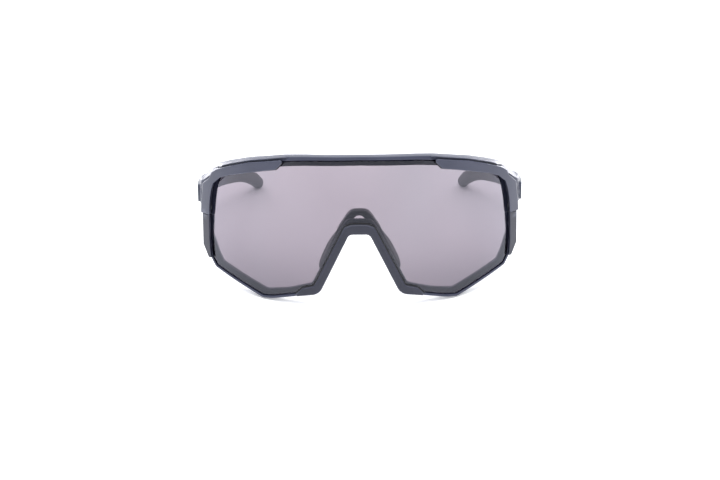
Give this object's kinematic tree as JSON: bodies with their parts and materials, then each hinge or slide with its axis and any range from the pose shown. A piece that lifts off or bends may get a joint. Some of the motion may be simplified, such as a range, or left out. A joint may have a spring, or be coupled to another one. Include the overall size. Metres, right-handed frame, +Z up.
{
  "type": "wraparound sport sunglasses",
  "caption": "Shield sunglasses for sport: one curved tinted lens in a two-part dark frame, with folding arms and soft nose pads.",
  "frame": {"origin": "centre of the bounding box in X and Y, on the surface that the glasses stand on", "axes": "+X towards the wearer's left, +Y from the lens towards the wearer's face, +Z up"},
  "size_m": [0.1506, 0.145, 0.0654],
  "materials": {
    "frame": "fine matte moulded nylon",
    "trim": "satin moulded nylon",
    "lens": "grey tinted polycarbonate, hard coated",
    "bracket": "matte flexible nylon",
    "pad": "soft matte rubber",
    "tip": "soft matte rubber",
    "badge": "dark glossy inlay",
    "hinge": "stamped stainless steel",
    "screw": "machined steel"
  },
  "bodies": {
    "front": {"upper_frame": "frame", "lower_frame": "frame", "lens": "lens", "nose_cover": "trim", "nose_bracket": "bracket", "left_nose_pad": "pad", "left_shoulder_cover": "trim", "left_side_guard": "trim", "left_frame_hinge": "hinge", "left_hinge_screw": "screw", "right_nose_pad": "pad", "right_shoulder_cover": "trim", "right_side_guard": "trim", "right_frame_hinge": "hinge", "right_hinge_screw": "screw"},
    "left_arm": {"left_temple": "frame", "left_temple_hinge": "hinge", "left_temple_tip": "tip", "left_temple_badge": "badge"},
    "right_arm": {"right_temple": "frame", "right_temple_hinge": "hinge", "right_temple_tip": "tip", "right_temple_badge": "badge"}
  },
  "joints": [
    {"name": "left_temple_fold", "type": "hinge", "parent": "front", "child": "left_arm", "pos_m": [0.0675, -0.02697, 0.03515], "axis": [0, 0.1908, 0.9816], "range_deg": [0, 92]},
    {"name": "right_temple_fold", "type": "hinge", "parent": "front", "child": "right_arm", "pos_m": [-0.0675, -0.02697, 0.03515], "axis": [0, -0.1908, -0.9816], "range_deg": [0, 78]}
  ]
}
